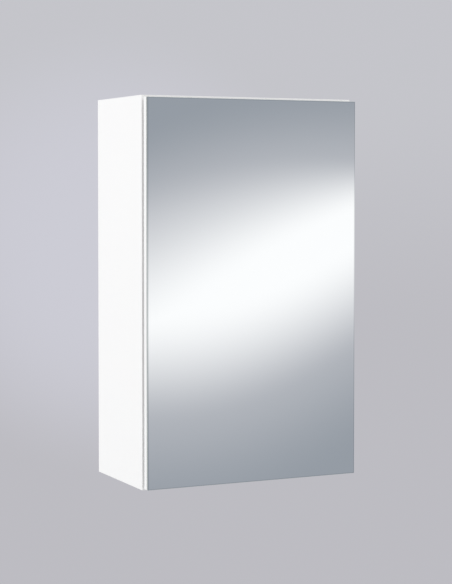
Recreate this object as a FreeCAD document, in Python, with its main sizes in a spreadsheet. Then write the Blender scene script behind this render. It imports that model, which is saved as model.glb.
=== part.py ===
import FreeCAD, Part
import math
import os
import Sketcher

# Bathroom mirror cabinet: a wall-hung board carcass behind one mirrored door.
# Millimetres. +Z is up, -Y is the front, the wall is the plane y = 0.
# The origin lies on the wall, midway between the two wall screw holes.

Vector = FreeCAD.Vector
Rotation = FreeCAD.Rotation

# Driving dimensions
SIZES = {
    "cabinet_width": 300,
    "cabinet_height": 500,
    "carcass_depth": 153,
    "board_thickness": 15,
    "edge_radius": 0.6,
    "back_thickness": 3,
    "groove_depth": 6,
    "groove_clearance": 0.1,
    "rail_thickness": 16,
    "rail_height": 60,
    "lower_rail_height": 40,
    "wall_hole_spacing": 200,
    "wall_hole_diameter": 5.5,
    "shelf_thickness": 12,
    "lower_shelf_rise": 144,
    "upper_shelf_rise": 307,
    "shelf_setback": 18,
    "shelf_back_clearance": 1,
    "shelf_side_clearance": 1.5,
    "pin_diameter": 5,
    "pin_clearance": 0.05,
    "pin_in_side": 8.5,
    "pin_reach": 8,
    "pin_collar_diameter": 7.2,
    "pin_collar_thickness": 1,
    "pin_pitch": 32,
    "pin_front_setback": 37,
    "pin_rear_setback": 26,
    "cam_diameter": 15,
    "cam_height": 11,
    "cam_clearance": 0.1,
    "cam_from_end": 34,
    "cam_setback": 67,
    "cam_slot_width": 1.6,
    "cam_slot_depth": 2,
    "cap_thickness": 1.2,
    "bolt_shank_diameter": 6.4,
    "bolt_thread_diameter": 5,
    "bolt_neck_diameter": 4.4,
    "bolt_head_length": 2.7,
    "bolt_neck_length": 4,
    "bolt_in_side": 11,
    "bolt_clearance": 0.3,
    "dowel_diameter": 8,
    "dowel_length": 30,
    "dowel_in_side": 10,
    "dowel_clearance": 0.05,
    "dowel_end_clearance": 0.3,
    "dowel_chamfer": 1,
    "dowel_front_setback": 31,
    "dowel_rear_setback": 103,
    "rail_dowel_spacing": 36,
    "lower_rail_dowel_spacing": 20,
    "door_gap": 4,
    "door_thickness": 9,
    "door_reveal_top": 3,
    "door_reveal_bottom": 2.2,
    "door_reveal_side": 1,
    "door_edge_chamfer": 1,
    "tape_thickness": 0.8,
    "tape_width": 25,
    "tape_end_margin": 24,
    "tape_spacing": 105,
    "glass_thickness": 3,
    "glass_arris": 0.5,
    "hinge_end_distance": 72,
    "pivot_inset": 8,
    "pivot_depth": 5,
    "hinge_pin_diameter": 2,
    "hinge_running_clearance": 0.05,
    "hinge_pin_press": 0.02,
    "cup_diameter": 35,
    "cup_depth": 8,
    "cup_wall": 0.8,
    "cup_clearance": 0.1,
    "cup_edge_distance": 3.5,
    "cup_flange_thickness": 0.8,
    "cup_flange_overlap": 0.7,
    "cup_screw_offset": 9.5,
    "cup_screw_spacing": 45,
    "cup_wing_width": 13,
    "cup_wing_reach": 6.5,
    "cup_wing_radius": 5,
    "lug_width": 4,
    "lug_side_clearance": 0.3,
    "arm_thickness": 2,
    "arm_neck_width": 7,
    "arm_eye_diameter": 3.9,
    "arm_leg_standoff": 2.2,
    "arm_height": 9.6,
    "arm_slant_depth": 8.6,
    "arm_slant_lift": 0.6,
    "arm_length": 62,
    "arm_channel_width": 12,
    "arm_channel_start": 13,
    "arm_flange_thickness": 1.2,
    "arm_bend_radius": 1.6,
    "plate_thickness": 1.6,
    "plate_setback": 37,
    "plate_width": 18,
    "plate_corner_radius": 5,
    "plate_screw_spacing": 32,
    "plate_end_margin": 6,
    "plate_block_front": 16,
    "plate_block_rear": 58,
    "plate_block_clearance": 0.2,
    "fixing_setback": 48,
    "adjusting_setback": 24,
    "arm_slot_length": 5,
    "machine_screw_diameter": 4,
    "machine_screw_length": 7,
    "machine_head_diameter": 7,
    "machine_head_height": 2,
    "wood_screw_diameter": 3.5,
    "wood_head_diameter": 6.8,
    "wood_head_height": 1.8,
    "plate_screw_length": 13,
    "cup_screw_length": 7.5,
    "latch_screw_length": 13,
    "screw_clearance": 0.05,
    "screw_end_clearance": 0.3,
    "cross_arm_width": 0.9,
    "cross_depth": 1.1,
    "latch_rise": 235,
    "latch_width": 14,
    "latch_height": 18,
    "latch_length": 70,
    "latch_setback": 2,
    "latch_corner_radius": 4,
    "latch_ear_reach": 10,
    "latch_ear_length": 14,
    "latch_ear_thickness": 3,
    "latch_ear_radius": 4,
    "latch_travel": 12,
    "latch_stop_clearance": 0.3,
    "latch_cap_flange": 1.6,
    "latch_plug_length": 4,
    "plunger_diameter": 8,
    "plunger_length": 40,
    "plunger_clearance": 0.1,
    "plunger_tail_diameter": 10.2,
    "plunger_tail_length": 2.5,
    "plunger_tip_chamfer": 0.4,
    "chamber_diameter": 10.6,
    "magnet_diameter": 6.4,
    "magnet_length": 3.4,
    "magnet_seat_depth": 3,
    "magnet_clearance": 0.05,
    "magnet_chamfer": 0.3,
    "magnet_air_gap": 0.2,
    "spring_wire_diameter": 0.8,
    "spring_mean_diameter": 7.2,
    "spring_turns": 7,
    "spring_end_clearance": 0.1,
    "strike_width": 13,
    "strike_height": 32,
    "strike_thickness": 1.6,
    "strike_corner_radius": 3,
    "strike_screw_spacing": 20,
    "strike_screw_diameter": 3,
    "strike_screw_length": 7.5,
    "strike_head_rise": 1.2,
    "strike_head_clearance": 0.1,
}

doc = FreeCAD.newDocument("MirrorCabinet")
sheet = doc.addObject("Spreadsheet::Sheet", "Dims")
for row, (alias, size) in enumerate(SIZES.items(), start=1):
    sheet.set(f"A{row}", alias)
    sheet.set(f"B{row}", str(size))
    sheet.setAlias(f"B{row}", alias)
doc.recompute()

# Places worked out from the driving dimensions
HALF_WIDTH = "(Dims.cabinet_width / 2)"
INNER_X = "(Dims.cabinet_width / 2 - Dims.board_thickness)"
CEILING = "(Dims.rail_height / 2)"
TOP = f"({CEILING} + Dims.board_thickness)"
BOTTOM = f"({TOP} - Dims.cabinet_height)"
FLOOR = f"({BOTTOM} + Dims.board_thickness)"
WALL = "0"
FRONT = "(-Dims.carcass_depth)"
BACK_REAR = "(-Dims.rail_thickness)"
BACK_FRONT = "(-Dims.rail_thickness - Dims.back_thickness)"
RAIL_MID_Y = "(-Dims.rail_thickness / 2)"
LOWER_RAIL_MID = f"({FLOOR} + Dims.lower_rail_height / 2)"
TOP_MID = f"({TOP} - Dims.board_thickness / 2)"
BOTTOM_MID = f"({BOTTOM} + Dims.board_thickness / 2)"

CAM_Y = f"({FRONT} + Dims.cam_setback)"
CAM_X = f"({INNER_X} - Dims.cam_from_end)"
CAM_BORE = "(Dims.cap_thickness + Dims.cam_height + Dims.cam_clearance)"
DOWEL_YS = [f"({FRONT} + Dims.dowel_front_setback)", f"({FRONT} + Dims.dowel_rear_setback)"]

PIN_YS = [f"({FRONT} + Dims.pin_front_setback)", f"({BACK_FRONT} - Dims.pin_rear_setback)"]
SHELF_RISES = {"lower": "Dims.lower_shelf_rise", "upper": "Dims.upper_shelf_rise"}
SPARE_STEPS = [-1, 0, 1]

DOOR_BACK = f"({FRONT} - Dims.door_gap)"
DOOR_FRONT = f"({DOOR_BACK} - Dims.door_thickness)"
GLASS_BACK = f"({DOOR_FRONT} - Dims.tape_thickness)"
GLASS_FRONT = f"({GLASS_BACK} - Dims.glass_thickness)"
DOOR_X = f"({HALF_WIDTH} - Dims.door_reveal_side)"
DOOR_TOP = f"({TOP} - Dims.door_reveal_top)"
DOOR_BOTTOM = f"({BOTTOM} + Dims.door_reveal_bottom)"

HINGE_ZS = {
    "upper": f"({DOOR_TOP} - Dims.hinge_end_distance)",
    "lower": f"({DOOR_BOTTOM} + Dims.hinge_end_distance)",
}
PIVOT_X = f"({HALF_WIDTH} - Dims.pivot_inset)"
PIVOT_Y = f"({DOOR_BACK} - Dims.pivot_depth)"
CUP_X = f"({DOOR_X} - Dims.cup_edge_distance - Dims.cup_diameter / 2)"
CUP_FLOOR = f"({DOOR_BACK} - Dims.cup_depth)"
CUP_SCREW_X = f"({CUP_X} - Dims.cup_screw_offset)"
CUP_SCREW_Z = "(Dims.cup_screw_spacing / 2)"
CUP_RADIUS = "(Dims.cup_diameter / 2 - Dims.cup_clearance)"
LUG_START = "(Dims.arm_neck_width / 2 + Dims.lug_side_clearance)"
LUG_END = (
    f"(sqrt(({CUP_RADIUS} - Dims.cup_wall / 4)^2"
    f" - ({PIVOT_X} + Dims.lug_width / 2 - {CUP_X})^2))"
)
PIN_HALF = f"({LUG_END} - Dims.cup_wall / 2)"

PLATE_Y = f"({FRONT} + Dims.plate_setback)"
PLATE_SCREW_Z = "(Dims.plate_screw_spacing / 2)"
PLATE_FACE = f"({INNER_X} - Dims.plate_thickness)"
ARM_SEAT = f"({INNER_X} - Dims.arm_height)"
ARM_FACE = f"({ARM_SEAT} - Dims.arm_thickness)"
ARM_REAR = f"({FRONT} + Dims.arm_length)"
FIXING_Y = f"({FRONT} + Dims.fixing_setback)"
ADJUSTING_Y = f"({FRONT} + Dims.adjusting_setback)"
MACHINE_BORE = "(Dims.machine_screw_diameter / 2 + Dims.screw_clearance)"
WOOD_BORE = "(Dims.wood_screw_diameter / 2 + Dims.screw_clearance)"

LATCH_Z = f"({FLOOR} + Dims.latch_rise)"
LATCH_X = f"(-{INNER_X} + Dims.latch_width / 2)"
LATCH_FRONT = f"({FRONT} + Dims.latch_setback)"
LATCH_REAR = f"({LATCH_FRONT} + Dims.latch_length)"
LATCH_MID = f"(({LATCH_FRONT} + {LATCH_REAR}) / 2)"
LATCH_SCREW_Z = "(Dims.latch_height / 2 + Dims.latch_ear_reach / 2)"
STRIKE_FACE = f"({DOOR_BACK} + Dims.strike_thickness)"
MAGNET_TIP = f"({STRIKE_FACE} + Dims.magnet_air_gap)"
PLUNGER_TIP = f"({MAGNET_TIP} + Dims.magnet_length - Dims.magnet_seat_depth)"
TAIL_FRONT = f"({PLUNGER_TIP} + Dims.plunger_length)"
TAIL_REAR = f"({TAIL_FRONT} + Dims.plunger_tail_length)"
SHOULDER = f"({TAIL_FRONT} - Dims.latch_travel - Dims.latch_stop_clearance)"
PLUG_FRONT = f"({LATCH_REAR} - Dims.latch_plug_length)"
STRIKE_SCREW_Z = "(Dims.strike_screw_spacing / 2)"

PAD = "PartDesign::Pad"
POCKET = "PartDesign::Pocket"
FACING = {
    "right": Rotation(Vector(0, 0, 1), Vector(1, 0, 0)),
    "left": Rotation(Vector(0, 0, 1), Vector(-1, 0, 0)),
    "back": Rotation(Vector(0, 0, 1), Vector(0, 1, 0)),
    "up": Rotation(),
}
NEARLY = 1e-4
QUARTERS_PER_TURN = 4
SAMPLES_PER_QUARTER = 4

sub_parts = []


def number(expression):
    """The present value of an expression of the sheet's cells."""
    return float(sheet.evalExpression(expression))


def new_body(label, height=None, keep=True):
    """An empty body, lifted by an expression, and listed as a sub-part unless it is only a pattern."""
    body = doc.addObject("PartDesign::Body", label)
    body.Label = label
    if height:
        body.setExpression("Placement.Base.z", height)
    if keep:
        sub_parts.append(body)
    return body


def rectangle(left, right, low, high):
    return [(left, low), (right, low), (right, high), (left, high)]


def bind(sketch, kind, places, expression):
    """One dimension of a sketch, tied to an expression."""
    index = sketch.addConstraint(Sketcher.Constraint(kind, *places, number(expression)))
    sketch.setExpression(f"Constraints[{index}]", expression)


def draw_outline(sketch, corners):
    """A closed outline of straight lines through corners given as expressions."""
    first = sketch.GeometryCount
    count = len(corners)
    spots = [Vector(number(across), number(along), 0) for across, along in corners]
    for step in range(count):
        sketch.addGeometry(Part.LineSegment(spots[step], spots[(step + 1) % count]))
    for step in range(count):
        following = first + (step + 1) % count
        sketch.addConstraint(Sketcher.Constraint("Coincident", first + step, 2, following, 1))
    for step, (across, along) in enumerate(corners):
        bind(sketch, "DistanceX", (-1, 1, first + step, 1), across)
        bind(sketch, "DistanceY", (-1, 1, first + step, 1), along)


def draw_circle(sketch, across, along, radius):
    centre = Vector(number(across), number(along), 0)
    circle = sketch.addGeometry(Part.Circle(centre, Vector(0, 0, 1), number(radius)))
    bind(sketch, "Radius", (circle,), radius)
    bind(sketch, "DistanceX", (-1, 1, circle, 3), across)
    bind(sketch, "DistanceY", (-1, 1, circle, 3), along)


def new_sketch(body, plane, height, outlines=(), circles=()):
    """A sketch on one of the body's own planes, a height along that plane's normal."""
    sketch = body.newObject("Sketcher::SketchObject", f"{body.Name}_sketch")
    support = next(one for one in body.Origin.OriginFeatures if one.Role == plane)
    sketch.AttachmentSupport = [(support, "")]
    sketch.MapMode = "FlatFace"
    sketch.setExpression("AttachmentOffset.Base.z", height)
    for corners in outlines:
        draw_outline(sketch, corners)
    for across, along, radius in circles:
        draw_circle(sketch, across, along, radius)
    return sketch


def extrude(body, kind, plane, start, stop, outlines=(), circles=()):
    """A pad or pocket from start to stop along the axis that the plane faces."""
    height = f"-({stop})" if plane == "XZ_Plane" else start
    before = body.Shape.Volume if body.Tip else 0
    feature = body.newObject(kind, f"{body.Name}_step")
    feature.Profile = new_sketch(body, plane, height, outlines, circles)
    feature.setExpression("Length", f"({stop}) - ({start})")
    feature.Reversed = kind == POCKET
    body.Tip = feature
    doc.recompute()
    change = body.Shape.Volume - before
    if (change < 0) != (kind == POCKET):
        raise ValueError(f"{feature.Name} of {body.Label} changed nothing")
    return feature


def revolve(body, profile):
    """A turned piece: profile corners are radius and height about the Z axis."""
    feature = body.newObject("PartDesign::Revolution", f"{body.Name}_turned")
    feature.Profile = new_sketch(body, "XZ_Plane", "0", [profile])
    feature.ReferenceAxis = (feature.Profile[0], ["V_Axis"])
    feature.Angle = 360
    doc.recompute()
    return feature


def runs_along(edge, axis):
    """True for a straight edge parallel to an axis."""
    if len(edge.Vertexes) != 2 or edge.Curve.TypeId != "Part::GeomLine":
        return False
    return abs(abs(getattr(edge.Curve.Direction, axis)) - 1) < NEARLY


def straight_edges(body, axis, test):
    """Names of the body's straight edges along an axis whose midpoints pass a test."""
    return [
        f"Edge{index}"
        for index, edge in enumerate(body.Shape.Edges, start=1)
        if runs_along(edge, axis) and test(edge.CenterOfMass - body.Placement.Base)
    ]


def rims(body, along, radius):
    """Names of the body's full-circle edges of one radius at a place along Y."""
    return [
        f"Edge{index}"
        for index, edge in enumerate(body.Shape.Edges, start=1)
        if edge.Closed and near(edge.CenterOfMass.y, along) and near(edge.Curve.Radius, radius)
    ]


def dress(body, kind, size_name, size, names):
    """A fillet or chamfer of one size on the named edges."""
    base = body.Tip
    feature = body.newObject(kind, f"{body.Name}_edges")
    feature.Base = (base, names)
    feature.setExpression(size_name, size)
    body.Tip = feature
    doc.recompute()


def fillet(body, radius, axis, test):
    dress(body, "PartDesign::Fillet", "Radius", radius, straight_edges(body, axis, test))


def chamfer(body, size, names):
    dress(body, "PartDesign::Chamfer", "Size", size, names)


def near(value, expression):
    return abs(value - number(expression)) < NEARLY


def copies(label, pattern, places):
    """Copies of one pattern body as separate solids of one sub-part."""
    links = []
    for step, (across, along, height, turn) in enumerate(places):
        link = doc.addObject("App::Link", f"{label}_{step}")
        link.LinkedObject = pattern
        link.Placement = FreeCAD.Placement(Vector(0, 0, 0), turn)
        link.setExpression("Placement.Base.x", across)
        link.setExpression("Placement.Base.y", along)
        link.setExpression("Placement.Base.z", height)
        links.append(link)
    group = doc.addObject("Part::Compound", label)
    group.Label = label
    group.Links = links
    doc.recompute()
    sub_parts.append(group)


def mirrored_span(side, near_x, far_x):
    """Start and stop along X of a piece on the right (1) or left (-1) side."""
    return (near_x, far_x) if side > 0 else (f"-({far_x})", f"-({near_x})")


def shelf_pin_height(level):
    return f"({FLOOR} + {SHELF_RISES[level]} - Dims.pin_diameter / 2)"


def corner_dowel_places():
    return [(along, height) for along in DOWEL_YS for height in (TOP_MID, BOTTOM_MID)]


def rail_dowel_places():
    places = []
    for middle, spacing in (
        (WALL, "Dims.rail_dowel_spacing"),
        (LOWER_RAIL_MID, "Dims.lower_rail_dowel_spacing"),
    ):
        places.append((RAIL_MID_Y, f"({middle} + {spacing} / 2)"))
        places.append((RAIL_MID_Y, f"({middle} - {spacing} / 2)"))
    return places


# Carcass boards

def side_panel(label, side):
    body = new_body(label)
    outline = rectangle(*mirrored_span(side, INNER_X, HALF_WIDTH), BOTTOM, TOP)
    extrude(body, PAD, "XZ_Plane", FRONT, WALL, [outline])
    fillet(body, "Dims.edge_radius", "z", lambda spot: True)

    def bore(depth, circles):
        span = mirrored_span(side, INNER_X, f"{INNER_X} + {depth}")
        extrude(body, POCKET, "YZ_Plane", *span, circles=circles)

    groove = rectangle(
        f"{BACK_FRONT} - Dims.groove_clearance",
        f"{BACK_REAR} + Dims.groove_clearance",
        f"{FLOOR} - Dims.groove_depth",
        f"{CEILING} + Dims.groove_depth",
    )
    span = mirrored_span(side, INNER_X, f"{INNER_X} + Dims.groove_depth")
    extrude(body, POCKET, "YZ_Plane", *span, [groove])
    bore(
        "Dims.pin_in_side + Dims.dowel_end_clearance",
        [
            (along, f"{shelf_pin_height(level)} + Dims.pin_pitch * {step}",
             "Dims.pin_diameter / 2 + Dims.pin_clearance")
            for along in PIN_YS
            for level in SHELF_RISES
            for step in SPARE_STEPS
        ],
    )
    bore(
        "Dims.dowel_in_side + Dims.dowel_end_clearance",
        [
            (along, height, "Dims.dowel_diameter / 2 + Dims.dowel_clearance")
            for along, height in corner_dowel_places() + rail_dowel_places()
        ],
    )
    bore(
        "Dims.bolt_in_side + Dims.bolt_clearance",
        [
            (CAM_Y, height, "Dims.bolt_thread_diameter / 2 + Dims.screw_clearance")
            for height in (TOP_MID, BOTTOM_MID)
        ],
    )
    if side > 0:
        bore(
            "Dims.plate_screw_length - Dims.plate_thickness + Dims.screw_end_clearance",
            [
                (PLATE_Y, f"{height} + {sign} * {PLATE_SCREW_Z}", WOOD_BORE)
                for height in HINGE_ZS.values()
                for sign in (-1, 1)
            ],
        )
    else:
        bore(
            "Dims.latch_screw_length - Dims.latch_ear_thickness + Dims.screw_end_clearance",
            [(LATCH_MID, f"{LATCH_Z} + {sign} * {LATCH_SCREW_Z}", WOOD_BORE) for sign in (-1, 1)],
        )


def deck_panel(label, inner, outer, middle, up):
    """The top (up = 1) or bottom (up = -1) panel, held between the sides."""
    body = new_body(label)
    low, high = (inner, outer) if up > 0 else (outer, inner)
    plan = rectangle(f"-{INNER_X}", INNER_X, FRONT, WALL)
    extrude(body, PAD, "XY_Plane", low, high, [plan])
    fillet(body, "Dims.edge_radius", "x", lambda spot: True)
    groove = rectangle(
        f"-{INNER_X}",
        INNER_X,
        f"{BACK_FRONT} - Dims.groove_clearance",
        f"{BACK_REAR} + Dims.groove_clearance",
    )
    reach = f"{inner} + {up} * Dims.groove_depth"
    span = (inner, reach) if up > 0 else (reach, inner)
    extrude(body, POCKET, "XY_Plane", *span, [groove])
    seat = f"{outer} - {up} * {CAM_BORE}"
    span = (seat, outer) if up > 0 else (outer, seat)
    cams = [(f"{side} * {CAM_X}", CAM_Y, "Dims.cam_diameter / 2") for side in (-1, 1)]
    extrude(body, POCKET, "XY_Plane", *span, circles=cams)
    for side in (-1, 1):
        span = mirrored_span(side, CAM_X, INNER_X)
        bolt = (CAM_Y, middle, "Dims.bolt_shank_diameter / 2 + Dims.bolt_clearance")
        extrude(body, POCKET, "YZ_Plane", *span, circles=[bolt])
        reach = f"{INNER_X} - (Dims.dowel_length - Dims.dowel_in_side + Dims.dowel_end_clearance)"
        holes = [
            (along, middle, "Dims.dowel_diameter / 2 + Dims.dowel_clearance") for along in DOWEL_YS
        ]
        extrude(body, POCKET, "YZ_Plane", *mirrored_span(side, reach, INNER_X), circles=holes)


def wall_holes():
    return [
        (f"{side} * Dims.wall_hole_spacing / 2", WALL, "Dims.wall_hole_diameter / 2")
        for side in (-1, 1)
    ]


def back_panel():
    body = new_body("back_panel")
    reach = "Dims.groove_depth - Dims.groove_clearance"
    outline = rectangle(
        f"-({INNER_X} + {reach})",
        f"{INNER_X} + {reach}",
        f"{FLOOR} - ({reach})",
        f"{CEILING} + {reach}",
    )
    extrude(body, PAD, "XZ_Plane", BACK_FRONT, BACK_REAR, [outline])
    extrude(body, POCKET, "XZ_Plane", BACK_FRONT, BACK_REAR, circles=wall_holes())


def rail(label, low, high, middle, spacing, holes):
    body = new_body(label)
    outline = rectangle(f"-{INNER_X}", INNER_X, low, high)
    extrude(body, PAD, "XZ_Plane", BACK_REAR, WALL, [outline])
    if holes:
        extrude(body, POCKET, "XZ_Plane", BACK_REAR, WALL, circles=holes)
    reach = f"{INNER_X} - (Dims.dowel_length - Dims.dowel_in_side + Dims.dowel_end_clearance)"
    dowels = [
        (RAIL_MID_Y, f"{middle} + {sign} * {spacing} / 2", "Dims.dowel_diameter / 2 + Dims.dowel_clearance")
        for sign in (-1, 1)
    ]
    for side in (-1, 1):
        extrude(body, POCKET, "YZ_Plane", *mirrored_span(side, reach, INNER_X), circles=dowels)


def shelf(level):
    body = new_body(f"{level}_shelf")
    half = f"({INNER_X} - Dims.shelf_side_clearance)"
    plan = rectangle(
        f"-{half}",
        half,
        f"{FRONT} + Dims.shelf_setback",
        f"{BACK_FRONT} - Dims.shelf_back_clearance",
    )
    low = f"{FLOOR} + {SHELF_RISES[level]}"
    extrude(body, PAD, "XY_Plane", low, f"{low} + Dims.shelf_thickness", [plan])
    fillet(body, "Dims.edge_radius", "x", lambda spot: True)


# Board fittings: each pattern is turned about Z, with z = 0 at the face it seats on

def shelf_pins():
    body = new_body("shelf_pin_pattern", keep=False)
    radius = "Dims.pin_diameter / 2"
    tip = "Dims.pin_collar_thickness + Dims.pin_reach"
    ease = "Dims.edge_radius"
    revolve(body, [
        ("0", "-Dims.pin_in_side"),
        (f"{radius} - {ease}", "-Dims.pin_in_side"),
        (radius, f"{ease} - Dims.pin_in_side"),
        (radius, "0"),
        ("Dims.pin_collar_diameter / 2", "0"),
        ("Dims.pin_collar_diameter / 2", "Dims.pin_collar_thickness"),
        (radius, "Dims.pin_collar_thickness"),
        (radius, f"{tip} - {ease}"),
        (f"{radius} - {ease}", tip),
        ("0", tip),
    ])
    copies("shelf_pins", body, [
        (f"{side} * {INNER_X}", along, shelf_pin_height(level), FACING["left" if side > 0 else "right"])
        for level in SHELF_RISES
        for along in PIN_YS
        for side in (-1, 1)
    ])


def cam_places(depth):
    """Cam positions a depth below the outer faces, turned so that each slot faces its board's end."""
    turns = {
        (1, 1): Rotation(),
        (-1, 1): Rotation(Vector(0, 0, 1), 180),
        (1, -1): Rotation(Vector(1, 0, 0), 180),
        (-1, -1): Rotation(Vector(0, 1, 0), 180),
    }
    return [
        (f"{side} * {CAM_X}", CAM_Y, f"{TOP} - {depth}" if up > 0 else f"{BOTTOM} + {depth}", turn)
        for (side, up), turn in turns.items()
    ]


def cross(width, reach):
    """A plus-shaped outline for a driver recess."""
    arm = f"({width}) / 2"
    return [
        [(f"-({reach})", f"-({arm})"), (reach, f"-({arm})"), (reach, arm), (f"-({reach})", arm)],
        [(f"-({arm})", f"-({reach})"), (arm, f"-({reach})"), (arm, reach), (f"-({arm})", reach)],
    ]


def cut_cross(body, face, depth, width, reach):
    for bar in cross(width, reach):
        extrude(body, POCKET, "XY_Plane", f"{face} - {depth}", face, [bar])


def cam_discs():
    body = new_body("cam_disc_pattern", keep=False)
    radius = "(Dims.cam_diameter / 2 - Dims.cam_clearance)"
    extrude(body, PAD, "XY_Plane", "-Dims.cam_height", "0", circles=[("0", "0", radius)])
    throat = "Dims.bolt_shank_diameter / 2 + Dims.bolt_clearance"
    axis = "Dims.cap_thickness - Dims.board_thickness / 2"
    extrude(body, POCKET, "YZ_Plane", "0", radius, circles=[("0", axis, throat)])
    cut_cross(body, "0", "Dims.cam_slot_depth", "Dims.cam_slot_width", "Dims.cam_diameter / 4")
    copies("cam_discs", body, cam_places("Dims.cap_thickness"))


def cam_caps():
    body = new_body("cam_cap_pattern", keep=False)
    radius = "Dims.cam_diameter / 2 - Dims.cam_clearance"
    revolve(body, [
        ("0", "-Dims.cap_thickness"),
        (radius, "-Dims.cap_thickness"),
        (radius, "-Dims.cap_thickness / 3"),
        (f"{radius} - Dims.cap_thickness / 3", "0"),
        ("0", "0"),
    ])
    copies("cam_caps", body, cam_places("0"))


def cam_bolts():
    body = new_body("cam_bolt_pattern", keep=False)
    shank = "Dims.bolt_shank_diameter / 2"
    neck = "Dims.bolt_neck_diameter / 2"
    thread = "Dims.bolt_thread_diameter / 2"
    end = "(Dims.bolt_clearance - Dims.cam_from_end)"
    collar = f"({end} + Dims.bolt_head_length)"
    revolve(body, [
        ("0", end),
        (shank, end),
        (shank, collar),
        (neck, collar),
        (neck, f"{collar} + Dims.bolt_neck_length"),
        (shank, f"{collar} + Dims.bolt_neck_length"),
        (shank, "0"),
        (thread, "0"),
        (thread, f"Dims.bolt_in_side - {thread} / 2"),
        (f"{thread} / 2", "Dims.bolt_in_side"),
        ("0", "Dims.bolt_in_side"),
    ])
    copies("cam_bolts", body, [
        (f"{side} * {INNER_X}", CAM_Y, height, FACING["right" if side > 0 else "left"])
        for side in (-1, 1)
        for height in (TOP_MID, BOTTOM_MID)
    ])


def dowels():
    body = new_body("dowel_pattern", keep=False)
    radius = "Dims.dowel_diameter / 2"
    inner = "(Dims.dowel_in_side - Dims.dowel_length)"
    revolve(body, [
        ("0", inner),
        (f"{radius} - Dims.dowel_chamfer", inner),
        (radius, f"{inner} + Dims.dowel_chamfer"),
        (radius, "Dims.dowel_in_side - Dims.dowel_chamfer"),
        (f"{radius} - Dims.dowel_chamfer", "Dims.dowel_in_side"),
        ("0", "Dims.dowel_in_side"),
    ])
    copies("dowels", body, [
        (f"{side} * {INNER_X}", along, height, FACING["right" if side > 0 else "left"])
        for side in (-1, 1)
        for along, height in corner_dowel_places() + rail_dowel_places()
    ])


def pan_screw(name, diameter, length, head, rise):
    """A pan-head screw, head up, seated at z = 0."""
    body = new_body(name, keep=False)
    shank = f"({diameter} / 2)"
    rim = f"({head} / 2)"
    revolve(body, [
        ("0", f"-({length})"),
        (shank, f"{shank} - {length}"),
        (shank, "0"),
        (rim, "0"),
        (rim, f"{rise} / 2"),
        (f"{rim} * 2 / 3", rise),
        ("0", rise),
    ])
    cut_cross(body, rise, "Dims.cross_depth", "Dims.cross_arm_width", f"{rim} / 2")
    return body


def wood_screw(name, length):
    return pan_screw(
        name, "Dims.wood_screw_diameter", length, "Dims.wood_head_diameter", "Dims.wood_head_height"
    )


# Hinges: a pin across the cup carries the eye of a hooked arm, which leaves through the cup's mouth

def hinge_spot(inset, rise):
    """Plan position an inset from the cabinet's right face and a rise in front of the carcass."""
    return f"{HALF_WIDTH} - ({inset})", f"{FRONT} - ({rise})"


def hinge_arm(level):
    body = new_body(f"{level}_hinge_arm", HINGE_ZS[level])
    half_neck = "Dims.arm_neck_width / 2"
    half_channel = "Dims.arm_channel_width / 2"
    pivot_rise = "(Dims.door_gap + Dims.pivot_depth)"
    half_sheet = "Dims.arm_thickness / 2"
    leg = "(Dims.board_thickness + Dims.arm_leg_standoff)"
    web = "(Dims.board_thickness + Dims.arm_height)"
    strip = [
        hinge_spot("Dims.pivot_inset", f"{pivot_rise} - {half_sheet}"),
        hinge_spot(leg, f"{pivot_rise} - {half_sheet}"),
        hinge_spot(leg, "0"),
        hinge_spot(web, "-Dims.arm_slant_depth"),
        hinge_spot(web, "-Dims.arm_length"),
        hinge_spot(f"{web} + Dims.arm_thickness", "-Dims.arm_length"),
        hinge_spot(f"{web} + Dims.arm_thickness", "Dims.arm_slant_lift - Dims.arm_slant_depth"),
        hinge_spot(f"{leg} + Dims.arm_thickness", "Dims.arm_slant_lift"),
        hinge_spot(f"{leg} + Dims.arm_thickness", f"{pivot_rise} + {half_sheet}"),
        hinge_spot("Dims.pivot_inset", f"{pivot_rise} + {half_sheet}"),
    ]
    extrude(body, PAD, "XY_Plane", f"-{half_neck}", half_neck, [strip])
    bends = [strip[index] for index in (1, 2, 3, 6, 7, 8)]
    fillet(
        body,
        "Dims.arm_bend_radius",
        "z",
        lambda spot: any(near(spot.x, across) and near(spot.y, along) for across, along in bends),
    )
    eye = (PIVOT_X, PIVOT_Y, "Dims.arm_eye_diameter / 2")
    extrude(body, PAD, "XY_Plane", f"-{half_neck}", half_neck, circles=[eye])
    bore = (PIVOT_X, PIVOT_Y, "Dims.hinge_pin_diameter / 2 + Dims.hinge_running_clearance")
    extrude(body, POCKET, "XY_Plane", f"-{half_neck}", half_neck, circles=[bore])
    start = f"{FRONT} + Dims.arm_channel_start"
    plan = rectangle(ARM_FACE, ARM_SEAT, start, ARM_REAR)
    extrude(body, PAD, "XY_Plane", f"-{half_channel}", half_channel, [plan])
    lip = f"{INNER_X} - Dims.arm_leg_standoff"
    for low, high in (
        (f"-{half_channel}", f"Dims.arm_flange_thickness - {half_channel}"),
        (f"{half_channel} - Dims.arm_flange_thickness", half_channel),
    ):
        flange = rectangle(ARM_FACE, lip, start, ARM_REAR)
        extrude(body, PAD, "XY_Plane", low, high, [flange])
    fillet(body, "Dims.arm_flange_thickness", "y", lambda spot: near(spot.x, ARM_FACE))
    play = "Dims.arm_slot_length / 2"
    slot_ends = [f"{FIXING_Y} - {play}", f"{FIXING_Y} + {play}"]
    slot = rectangle(*slot_ends, f"-{MACHINE_BORE}", MACHINE_BORE)
    extrude(body, POCKET, "YZ_Plane", ARM_FACE, ARM_SEAT, [slot])
    holes = [(along, "0", MACHINE_BORE) for along in (*slot_ends, ADJUSTING_Y)]
    extrude(body, POCKET, "YZ_Plane", ARM_FACE, ARM_SEAT, circles=holes)


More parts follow.
